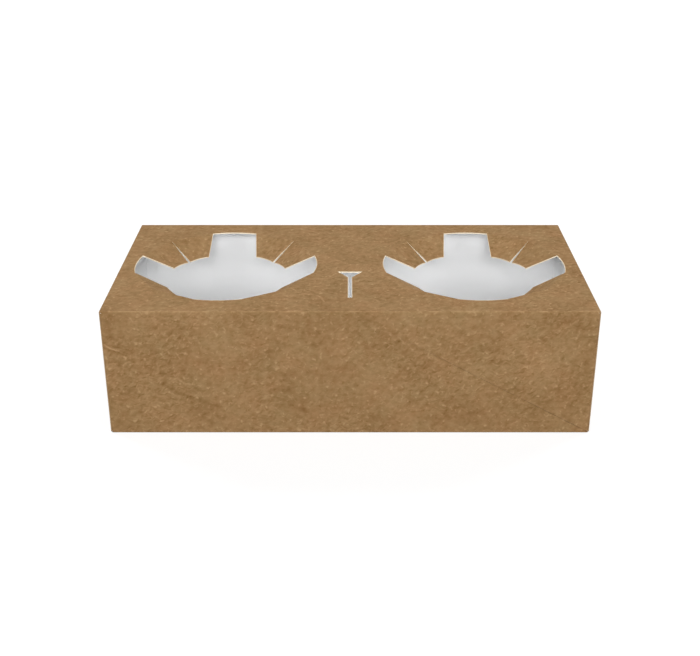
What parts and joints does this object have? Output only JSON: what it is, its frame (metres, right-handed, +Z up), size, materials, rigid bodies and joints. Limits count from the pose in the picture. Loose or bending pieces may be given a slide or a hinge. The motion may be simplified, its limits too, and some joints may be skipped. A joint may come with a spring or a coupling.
{
  "type": "cup carrier",
  "caption": "Flat folded kraft board box with bent-petal cup openings in its top panel and a narrow stirrer slot between them.",
  "frame": {"origin": "middle of the base, on the surface that the carrier stands on", "axes": "+X along the carrier from one cup opening to the other, +Y from the front wall with the stirrer slot to the back wall, +Z up"},
  "size_m": [0.216, 0.11, 0.06],
  "materials": {
    "kraft_board": "uncoated, matt"
  },
  "bodies": {
    "root": {"cup_carrier": "kraft_board"}
  },
  "joints": []
}
